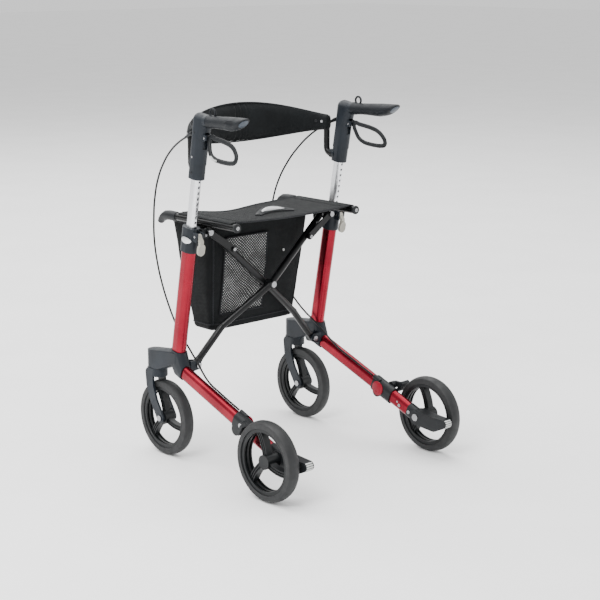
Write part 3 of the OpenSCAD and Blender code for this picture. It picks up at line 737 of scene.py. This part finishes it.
class ROLLATOR_OT_seat(bpy.types.Operator):
    """Stretches the seat cloth over the rails, with hems, stitching and the pull strap"""

    bl_idname = "rollator.seat"
    bl_label = "Seat"

    BACK, FRONT = -0.006, 0.203

    def execute(self, context):
        sizes = context.scene.rollator_sizes
        thick, sag = sizes.cloth_thickness, sizes.seat_sag
        x_rail, z_rail = RAIL
        wrap_r = 0.0104 + thick / 2
        wrap = math.radians(38)
        span = x_rail
        flat_w = 2 * span + 2 * wrap_r * wrap

        def place(u, v):
            across = (u - 0.5) * flat_w
            y = self.BACK + v * (self.FRONT - self.BACK)
            x = max(-span, min(span, across))
            rest = (abs(across) - span) / wrap_r
            z = z_rail + wrap_r
            if rest > 0:
                k = 1 if across > 0 else -1
                return Vector((k * (x_rail + wrap_r * math.sin(rest)), y, z_rail + wrap_r * math.cos(rest)))
            share = 1 - (x / span) ** 2
            edge = math.exp(-((v - 1) / 0.16) ** 2)
            droop = sag * share * (0.75 + 0.25 * math.sin(math.pi * v))
            droop += 0.007 * edge * math.sin(math.pi * min(1, max(0, (0.08 - x) / 0.26))) ** 2
            ripple = 0.0007 * noise.noise(Vector((x * 9, y * 30, 3.1))) * share
            return Vector((x, y, z - droop + ripple))

        cloth = formed_grid("seat_cloth", 150, 72, place)
        apply_modifier(cloth, "SOLIDIFY", thickness=thick, offset=0)
        smooth(cloth, 60)
        give(cloth, MATERIALS["seat_cloth"], "seat")
        trims = []
        for v, name in ((0.0, "back"), (1.0, "front")):
            line = [place(0.035 + 0.93 * i / 40, v) + Vector((0, 0, 0.0004)) for i in range(41)]
            trims.append(swept("seat_piping_" + name, line, 0.0022, steps=2, sides=3))
        for name, lift in (("back", 0.045), ("front", 0.955)):
            stitches = []
            for i in range(92):
                a, b = place(0.06 + 0.88 * i / 92, lift), place(0.06 + 0.88 * (i + 0.6) / 92, lift)
                stitches += self.stitch(a, b, thick)
            trims.append(join("seat_stitch_" + name, stitches))
        for k, name in ((-1, "left"), (1, "right")):
            for o, row in ((0.026, "a"), (0.031, "b")):
                stitches = []
                for i in range(46):
                    u = 0.5 + k * (span - o) / flat_w
                    a, b = place(u, 0.03 + 0.94 * i / 46), place(u, 0.03 + 0.94 * (i + 0.6) / 46)
                    stitches += self.stitch(a, b, thick)
                trims.append(join(f"seat_seam_{name}_{row}", stitches))
        for piece in trims:
            give(piece, MATERIALS["binding"], "seat")
        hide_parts("seat_sling")
        self.pull_strap(place, flat_w, thick)
        for piece in [cloth, *trims, *self.strap]:
            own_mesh(piece)
        return {"FINISHED"}

    def stitch(self, a, b, thick):
        """One thread showing on the cloth from a to b."""
        deselect()
        way = (b - a).normalized()
        middle = (a + b) / 2 + Vector((0, 0, thick / 2 + 0.0002))
        bpy.ops.mesh.primitive_cube_add(size=1, location=middle, rotation=way.to_track_quat("X", "Z").to_euler())
        thread = bpy.context.object
        thread.scale = ((b - a).length, 0.0008, 0.0006)
        return [thread]

    def pull_strap(self, place, flat_w, thick):
        """The arched moulded pull on the seat, with its plain oval plate."""
        radius, half = 0.107, math.radians(35)
        centre = Vector((0.0, 0.095 - 0.118, 0))

        def top(x, y):
            v = (y - self.BACK) / (self.FRONT - self.BACK)
            return place(0.5 + x / flat_w, v).z + thick / 2

        def section(turn, v, proud=0.0):
            """A point of the arch's skin: low at its rear edge, high at its front edge."""
            share = max(0.0, math.cos(turn / half * math.pi / 2))
            lift = 0.015 * share**1.3
            width = 0.0085 + 0.0015 * share
            out = radius + (v - 0.5) * 2 * width
            x, y = centre.x + out * math.sin(turn), centre.y + out * math.cos(turn)
            rise = lift * (0.12 + 0.88 * v) + 0.0014 + 0.0016 * math.sin(math.pi * v)
            slope = Vector((0, -lift * 0.88, 2 * width)).normalized()
            return Vector((x, y, top(x, y) + rise)) + slope * proud

        def arch(u, v):
            return section((u - 0.5) * 2 * half, v)

        strap = formed_grid("pull_arch", 72, 12, arch)
        apply_modifier(strap, "SOLIDIFY", thickness=0.0028, offset=-0.4)
        apply_modifier(strap, "BEVEL", width=0.0007, segments=2, limit_method="ANGLE", angle_limit=math.radians(50))
        smooth(strap, 50)
        give(strap, MATERIALS["pull_strap"], "seat")

        def oval(u, v):
            turn = u * 2 * math.pi
            swing = 0.0400 * v * math.cos(turn) / radius
            return section(swing, 0.5 + 0.30 * v * math.sin(turn), 0.0008 + 0.0010 * (1 - v**4))

        plate = formed_grid("pull_plate", 64, 8, oval, closed=True)
        give(plate, MATERIALS["plate_silver"], "seat")
        smooth(plate, 60)
        feet = []
        for k, name in ((-1, "left"), (1, "right")):
            turn = k * half * 0.93
            x, y = centre.x + radius * math.sin(turn), centre.y + radius * math.cos(turn)
            foot = socket_screw("pull_rivet_" + name, (x, y, top(x, y) + 0.0018), (0, 0, 1), 0.0042, 0.0018)
            feet.append(give(foot, MATERIALS["black_plastic"], "seat"))
        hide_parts("seat_handle")
        self.strap = [strap, plate, *feet]


def rounded_plan(turn, half_rear, half_front, y0, y1, corner=11.0):
    """A point of a rounded trapezoid: turn 0 faces +X and a quarter turn faces +Y."""
    c, s = math.cos(turn), math.sin(turn)
    x = math.copysign(abs(c) ** (2 / corner), c)
    y = math.copysign(abs(s) ** (2 / corner), s)
    t = (y + 1) / 2
    return Vector((x * (half_rear + (half_front - half_rear) * t), y0 + (y1 - y0) * t, 0))


class ROLLATOR_OT_bag(bpy.types.Operator):
    """Builds the shopping bag: cloth shell, net panel, bindings and piping"""

    bl_idname = "rollator.bag"
    bl_label = "Bag"

    TOP, SHOULDER, FLOOR = 0.610, 0.341, 0.3255

    def shell(self, turn, z):
        """A point of the bag's outer face above its shoulder."""
        t = (z - self.SHOULDER) / (0.606 - self.SHOULDER)
        p = rounded_plan(turn, 0.146 + 0.022 * t, 0.146 + 0.041 * t, 0.1565 - 0.0355 * t, 0.236 + 0.032 * t)
        belly = math.sin(math.pi * min(1, max(0, t)))
        c, s = math.cos(turn), math.sin(turn)
        p.y += 0.009 * belly * max(0, s) ** 3 - 0.0035 * belly * max(0, -s) ** 3
        p.x += 0.003 * belly * c**3
        fold = noise.noise(Vector((p.x * 11, p.y * 11, z * 7))) + 0.5 * noise.noise(Vector((p.x * 30, p.y * 30, z * 16)))
        drag = noise.noise(Vector(((p.x + z * 0.8) * 22, 4.2, (z - p.x) * 4)))
        push = 0.0022 * fold * (0.4 + belly) + 0.0014 * drag * belly
        p.x += push * c
        p.y += push * s
        p.z = z
        return p

    def place(self, u, v):
        turn = u * 2 * math.pi
        rim = 0.22
        if v < rim:
            share = v / rim
            edge = self.shell(turn, self.SHOULDER)
            middle = Vector((0, 0.196, self.FLOOR - 0.001))
            flat = middle.lerp(Vector((edge.x * 0.94, 0.196 + (edge.y - 0.196) * 0.94, self.FLOOR)), min(1, share / 0.75))
            if share > 0.75:
                bend = (share - 0.75) / 0.25
                lift = (1 - math.cos(bend * math.pi / 2)) * (self.SHOULDER - self.FLOOR)
                start = Vector((edge.x * 0.94, 0.196 + (edge.y - 0.196) * 0.94, self.FLOOR))
                flat = start.lerp(Vector((edge.x, edge.y, self.FLOOR)), math.sin(bend * math.pi / 2))
                flat.z = self.FLOOR + lift
            return flat
        return self.shell(turn, self.SHOULDER + (v - rim) / (1 - rim) * (self.TOP - self.SHOULDER))

    def rear_point(self, x, z, proud=0.0):
        """The point of the rear face at that x and height."""
        lo, hi = math.pi, 2 * math.pi
        for _ in range(40):
            mid = (lo + hi) / 2
            if self.shell(mid, z).x < x:
                lo = mid
            else:
                hi = mid
        p = self.shell(lo, z)
        return Vector((x, p.y - proud, z))

    def execute(self, context):
        shell = formed_grid("bag_shell", 224, 92, self.place, closed=True)
        apply_modifier(shell, "SOLIDIFY", thickness=0.0016, offset=-1)
        smooth(shell, 60)
        give(shell, MATERIALS["bag_cloth"], "seat")
        x0, x1, z0, z1 = -0.122, 0.020, 0.368, 0.574

        def net(u, v):
            return self.rear_point(x0 + (x1 - x0) * u, z0 + (z1 - z0) * v, 0.0030)

        panel = formed_grid("bag_net_panel", 60, 80, net)
        apply_modifier(panel, "SOLIDIFY", thickness=0.0008, offset=-1)
        smooth(panel, 60)
        give(panel, MATERIALS["bag_net"], "seat")
        trims = []
        corners = ((x0, z0, x1, z0), (x1, z0, x1, z1), (x1, z1, x0, z1), (x0, z1, x0, z0))
        for i, (xa, za, xb, zb) in enumerate(corners):
            line = [self.rear_point(xa + (xb - xa) * t / 24, za + (zb - za) * t / 24, 0.0030) for t in range(25)]
            trims.append(swept(f"bag_binding_{i}", line, 0.0018, flat=3.2 if i % 2 == 0 else 1.0, steps=2, sides=3))
        for i, turn in enumerate((0.25 * math.pi, 0.75 * math.pi, 1.25 * math.pi, 1.75 * math.pi)):
            line = [self.shell(turn, self.SHOULDER + (self.TOP - self.SHOULDER) * t / 30) for t in range(31)]
            trims.append(swept(f"bag_piping_{i}", line, 0.0021, steps=2, sides=3))
        ring = [self.shell(2 * math.pi * t / 96, self.SHOULDER + 0.001) for t in range(96)]
        trims.append(swept("bag_piping_base", ring, 0.0021, closed=True, steps=2, sides=3))
        hem = [self.shell(2 * math.pi * t / 96, self.TOP - 0.001) for t in range(96)]
        trims.append(swept("bag_hem", hem, 0.0024, closed=True, steps=2, sides=3))
        for piece in trims:
            give(piece, MATERIALS["binding"], "seat")
        rivet = socket_screw("bag_rivet", self.rear_point(0.083, 0.516, 0.0004), (0, -1, 0.1), 0.0034, 0.0016)
        give(rivet, MATERIALS["reflector"], "seat")
        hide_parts("bag")
        for piece in [shell, panel, rivet, *trims]:
            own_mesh(piece)
        return {"FINISHED"}


class ROLLATOR_OT_backrest(bpy.types.Operator):
    """Pads the backrest strap, with its creases, end caps and rivets"""

    bl_idname = "rollator.backrest"
    bl_label = "Backrest"

    HALF, MID_Y, END_Y, ARM_Y = 0.2285, 0.214, 0.104, 0.120

    def centre_line(self, x):
        """The strap's middle in plan at x, and how far it has turned there."""
        share = max(-0.9999, min(0.9999, x / self.HALF))
        deep = self.MID_Y - self.END_Y
        turn = math.atan2(deep * share, self.HALF * math.sqrt(1 - share**2))
        return Vector((x, self.END_Y + deep * math.sqrt(1 - share**2), 0)), turn

    def half_thick(self, y):
        """Half the pad's thickness, fuller where it wraps the arm."""
        return 0.0080 + 0.0036 * math.exp(-(((y - self.ARM_Y) / 0.014) ** 2))

    def outline(self, x):
        """The pad's top and bottom height at x."""
        top = 0.903 - 0.674 + math.sqrt(0.674**2 - x**2)
        low = 0.803 + 1.122 - math.sqrt(1.122**2 - x**2)
        return top, low

    def place(self, u, v):
        x = self.HALF * math.sin((2 * u - 1) * math.pi / 2 * 0.985)
        p, turn = self.centre_line(x)
        top, low = self.outline(x)
        end = min(1, (1 - abs(2 * u - 1)) / 0.035)
        round_off = math.sqrt(max(0.0, 1 - (1 - end) ** 2))
        half_h = (top - low) / 2 * (0.6 + 0.4 * round_off)
        half_t = self.half_thick(p.y) * (0.25 + 0.75 * round_off)
        a = v * 2 * math.pi
        c, s = math.cos(a), math.sin(a)
        out = math.copysign(abs(c) ** 0.8, c) * half_t
        up = math.copysign(abs(s) ** 0.62, s) * half_h
        normal = Vector((math.sin(turn), math.cos(turn), 0))
        q = p + normal * out
        return Vector((q.x, q.y, (top + low) / 2 + up))

    def execute(self, context):
        pad = formed_grid("backrest_padding", 230, 44, self.place, closed=True)
        pick(pad)
        bpy.ops.object.mode_set(mode="EDIT")
        bpy.ops.mesh.select_mode(type="EDGE")
        bpy.ops.mesh.select_all(action="DESELECT")
        bpy.ops.mesh.select_non_manifold()
        bpy.ops.mesh.edge_face_add()
        bpy.ops.mesh.select_all(action="SELECT")
        bpy.ops.mesh.normals_make_consistent(inside=False)
        bpy.ops.object.mode_set(mode="OBJECT")
        rest = [v.co.copy() for v in pad.data.vertices]
        self.stuff(context, pad, rest)
        self.sew(pad)
        apply_modifier(pad, "SUBSURF", levels=1, render_levels=1)
        smooth(pad, 80)
        give(pad, MATERIALS["pad_cloth"], "handle_left")
        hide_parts("backrest_pad")
        soft = [pad]
        for k, name in ((-1, "left"), (1, "right")):
            for i, x in enumerate((0.2239, 0.2140)):
                for face, way in (("in", -1), ("out", 1)):
                    p, turn = self.centre_line(k * x)
                    top, low = self.outline(x)
                    normal = Vector((math.sin(turn), math.cos(turn), 0)) * way
                    where = Vector((p.x, p.y, (top + low) / 2 + 0.002)) + normal * (self.half_thick(p.y) - 0.0002)
                    rivet = socket_screw(f"pad_rivet_{name}_{face}_{i}", where, normal, 0.0040, 0.0016)
                    give(rivet, MATERIALS["black_plastic"] if i else MATERIALS["bright_steel"],
                         "handle_left")
                    soft.append(rivet)
        for edge, name in ((0.25, "top"), (0.75, "low")):
            line = [self.place(0.02 + 0.96 * i / 60, edge) for i in range(61)]
            piping = swept("pad_piping_" + name, line, 0.0019, steps=2, sides=3)
            give(piping, MATERIALS["binding"], "handle_left")
            soft.append(piping)
        for s, side, k in SIDES:
            path = [(k * 0.231, y, z) for y, z in (
                (0.0985, 0.762), (0.1045, 0.762), (0.1105, 0.7635), (0.1165, 0.7685), (0.1195, 0.775), (0.120, 0.784),
                (0.120, 0.815), (0.120, 0.853),
            )]
            arm = swept("backrest_bar_" + s, path, 0.0082, steps=4, sides=6)
            give(arm, MATERIALS["black_tube"], f"handle_{side}")
            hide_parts("backrest_arm_" + s)
        for piece in soft:
            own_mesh(piece)
        return {"FINISHED"}

    def stuff(self, context, pad, rest):
        """Swells the pad with a short pressure simulation, then caps how far each point moved."""
        scene = context.scene
        pick(pad)
        puff = pad.modifiers.new("Cloth", "CLOTH")
        puff.settings.use_pressure = True
        puff.settings.uniform_pressure_force = 4.0
        puff.settings.effector_weights.gravity = 0
        puff.settings.quality = 4
        puff.settings.mass = 0.3
        puff.settings.tension_stiffness = 12
        puff.point_cache.frame_start, puff.point_cache.frame_end = 1, 14
        for step in range(1, 15):
            scene.frame_set(step)
        bpy.ops.object.modifier_apply(modifier=puff.name)
        scene.frame_set(1)
        limit = scene.rollator_sizes.pad_puff
        for v, start in zip(pad.data.vertices, rest):
            move = v.co - start
            if move.length > limit:
                v.co = start + move.normalized() * limit

    def sew(self, pad):
        """Presses the fold creases and the long wrinkles into the cloth."""
        creases = ((-0.013, 0.0022), (-0.006, 0.0017), (0.005, 0.0023), (0.014, 0.0016), (0.023, 0.0011))
        for v in pad.data.vertices:
            x, z = v.co.x, v.co.z
            p, turn = self.centre_line(x)
            normal = Vector((math.sin(turn), math.cos(turn), 0))
            out = 1 if (v.co - p) @ normal > 0 else -1
            depth = 0
            for where, deep in creases:
                wander = 0.0012 * math.sin(z * 70 + where * 400)
                depth += 1.5 * deep * math.exp(-(((x - where - wander) / 0.0024) ** 2))
            pull = noise.noise(Vector((x * 42, 1.7, z * 6)))
            wrinkle = 0.0010 * pull * (0.4 + abs(x) / self.HALF)
            v.co -= normal * out * (depth - wrinkle)


# ---- small fittings ----


class ROLLATOR_OT_badges(bpy.types.Operator):
    """Adds the plain oval plates on the clamp collars and the red caps on the brake housings"""

    bl_idname = "rollator.badges"
    bl_label = "Badges"

    def execute(self, context):
        for s, side, k in SIDES:
            body = f"frame_{side}"

            def oval(u, v, proud, half_y, half_z):
                turn = u * 2 * math.pi
                y, up = half_y * v * math.cos(turn) - 0.005, half_z * v * math.sin(turn)
                bulge = 0.0192
                over = max(0.0, abs(y) - 0.005)
                x = math.sqrt(max(0.0, bulge**2 - over**2)) + proud * (1 - 0.5 * v**6)
                return mirrored(k, on_upright(x, y, 0.305 + up))

            rim = formed_grid("collar_rim_" + s, 64, 8, lambda u, v: oval(u, v, 0.0012, 0.0178, 0.0118), closed=True)
            give(rim, MATERIALS["slate_plastic"], body)
            plate = formed_grid("collar_plate_" + s, 64, 8, lambda u, v: oval(u, v, 0.0021, 0.0150, 0.0082), closed=True)
            give(plate, MATERIALS["plate_silver"], body)
            for piece in (rim, plate):
                smooth(piece, 70)
            centre = mirrored(k, on_lower(-0.0162, 0.247, 0.0))
            cap = disc("brake_cap_" + s, centre, (-k, 0, 0), 0.0195, 0.0024, 0.0012, 64)
            give(cap, MATERIALS["red_cap"], body)
        return {"FINISHED"}


class ROLLATOR_OT_fasteners(bpy.types.Operator):
    """Adds screws and rivets on the posts, tubes, links and brackets, and the pedal reflectors"""

    bl_idname = "rollator.fasteners"
    bl_label = "Fasteners"

    def execute(self, context):
        steel, dark = MATERIALS["bright_steel"], MATERIALS["black_plastic"]
        for s, side, k in SIDES:
            frame_body, handle_body = f"frame_{side}", f"handle_{side}"
            spots = [
                ("post_screw", on_upright(0.0188, 0.002, 0.517), (k, 0, 0), 0.0028, 0.0012, steel, handle_body),
                ("post_pin", on_upright(0.0188, 0.004, 0.578), (k, 0, 0), 0.0026, 0.0010, dark, handle_body),
                ("collar_screw", on_upright(0.0178, 0.0, 0.478), (k, 0, 0), 0.0026, 0.0012, dark, handle_body),
                ("tube_screw", on_lower(-0.0123, 0.320, 0.003), (-k, 0, 0), 0.0030, 0.0014, steel, frame_body),
                ("tube_rivet", on_lower(0.0123, 0.333, 0.002), (k, 0, 0), 0.0034, 0.0012, steel, frame_body),
                ("pedal_screw", on_lower(-0.0137, 0.366, 0.0), (-k, 0, 0), 0.0052, 0.0016, steel, frame_body),
            ]
            for name, where, way, radius, height, material, body in spots:
                screw = socket_screw(f"{name}_{s}", mirrored(k, where), way, radius, height)
                give(screw, material, body)
            link_pin = socket_screw("link_pin_" + s, (k * 0.132, 0.0742, 0.5526), (0, -1, 0), 0.0046, 0.0018)
            give(link_pin, steel, f"link_{side}")
            bracket_screw = socket_screw("bracket_screw_" + s, (k * 0.2165, 0.0842, 0.598), (0, -1, 0), 0.0034, 0.0016)
            give(bracket_screw, steel, frame_body)
            rivet_body = "brace_b" if s == "l" else "brace_a"
            for i, t in enumerate((0.82, 0.93)):
                y0 = 0.110 if s == "l" else 0.087
                p = Vector((0, y0, 0.442)).lerp(Vector((0.203, 0.100, 0.615)), t)
                rivet = socket_screw(f"brace_rivet_{s}_{i}", (k * p.x, p.y - 0.0088, p.z), (0, -1, 0), 0.0032, 0.0014)
                give(rivet, steel, rivet_body)
            self.reflector(s, k, frame_body)
        return {"FINISHED"}

    def reflector(self, s, k, body):
        """The pale ribbed cap wrapped round the pedal's tip."""
        ribs = []
        for i in range(5):
            turn = math.radians(-52 + 26 * i)
            centre = Vector((k * (SIDE_X - 0.0095), -0.314 - 0.0112 * math.cos(turn), 0.102 + 0.0112 * math.sin(turn)))
            deselect()
            bpy.ops.mesh.primitive_cube_add(size=1, location=centre + Vector((k * 0.0095, 0, 0)), rotation=(-turn, 0, 0))
            rib = bpy.context.object
            rib.scale = (0.021, 0.0024, 0.0036)
            apply_modifier(rib, "BEVEL", width=0.15, segments=2)
            ribs.append(rib)
        cap = join("pedal_reflector_" + s, ribs)
        smooth(cap, 50)
        give(cap, MATERIALS["reflector"], body)


# ---- stage ----


class ROLLATOR_OT_stage(bpy.types.Operator):
    """Sets the pale floor, soft lights and the camera"""

    bl_idname = "rollator.stage"
    bl_label = "Stage"

    def execute(self, context):
        scene = context.scene
        azimuth, elevation = math.radians(-42.568), math.radians(12.939)
        back = Vector((
            math.sin(azimuth) * math.cos(elevation), -math.cos(azimuth) * math.cos(elevation), math.sin(elevation)
        ))
        deselect()
        bpy.ops.object.camera_add(location=(-2.489, -2.7355, 1.263), rotation=back.to_track_quat("Z", "Y").to_euler())
        camera = bpy.context.object
        camera.data.lens, camera.data.sensor_width = 88.59, 36
        scene.camera = camera
        world = bpy.data.worlds.new("Studio")
        world.use_nodes = True
        world.node_tree.nodes["Background"].inputs["Color"].default_value = (1, 1, 1, 1)
        world.node_tree.nodes["Background"].inputs["Strength"].default_value = 1.0
        scene.world = world
        deselect()
        bpy.ops.mesh.primitive_plane_add(size=60, location=(0, 0, -0.0005))
        floor = settle("floor")
        r = Recipe("Studio floor")
        r.colour(r.ramp(r.noise(3, 2), (0.93, 0.93, 0.93), (0.96, 0.96, 0.96)))
        r.set(Roughness=0.9)
        floor.data.materials.append(r.mat)
        for name, where, size, power in (
            ("Top", (0.0, 2.0, 5.2), 8.0, 700), ("Key", (-2.4, -0.8, 2.6), 1.4, 90), ("Fill", (2.8, -2.6, 1.6), 2.0, 25),
        ):
            deselect()
            aim = (Vector((0, 0, 0.4)) - Vector(where)).to_track_quat("-Z", "Y").to_euler()
            bpy.ops.object.light_add(type="AREA", location=where, rotation=aim)
            lamp = bpy.context.object
            lamp.name = name
            lamp.data.size = size
            lamp.data.energy = power
        return {"FINISHED"}


class ROLLATOR_PT_panel(bpy.types.Panel):
    bl_label = "Rollator"
    bl_idname = "ROLLATOR_PT_panel"
    bl_space_type = "VIEW_3D"
    bl_region_type = "UI"
    bl_category = "Rollator"

    def draw(self, context):
        column = self.layout.column()
        for settings in (context.scene.rollator_colours, context.scene.rollator_sizes):
            for key in settings.__annotations__:
                column.prop(settings, key)
        for step in STEPS:
            column.operator(step.bl_idname)


STEPS = (
    ROLLATOR_OT_stage,
    ROLLATOR_OT_frame_finish,
    ROLLATOR_OT_brake_cables,
    ROLLATOR_OT_seat_rails,
    ROLLATOR_OT_grips,
    ROLLATOR_OT_brake_levers,
    ROLLATOR_OT_seat,
    ROLLATOR_OT_bag,
    ROLLATOR_OT_backrest,
    ROLLATOR_OT_badges,
    ROLLATOR_OT_fasteners,
)
CLASSES = (RollatorColours, RollatorSizes, *STEPS, ROLLATOR_PT_panel)


def register():
    for cls in CLASSES:
        bpy.utils.register_class(cls)
    bpy.types.Scene.rollator_colours = bpy.props.PointerProperty(type=RollatorColours)
    bpy.types.Scene.rollator_sizes = bpy.props.PointerProperty(type=RollatorSizes)


def unregister():
    del bpy.types.Scene.rollator_colours
    del bpy.types.Scene.rollator_sizes
    for cls in reversed(CLASSES):
        bpy.utils.unregister_class(cls)


def main():
    register()
    bpy.ops.rollator.stage()
    bpy.ops.rollator.frame_finish()
    bpy.ops.rollator.brake_cables()
    bpy.ops.rollator.seat_rails()
    bpy.ops.rollator.grips()
    bpy.ops.rollator.brake_levers()
    bpy.ops.rollator.seat()
    bpy.ops.rollator.bag()
    bpy.ops.rollator.backrest()
    bpy.ops.rollator.badges()
    bpy.ops.rollator.fasteners()
    deselect()


if __name__ == "__main__":
    main()
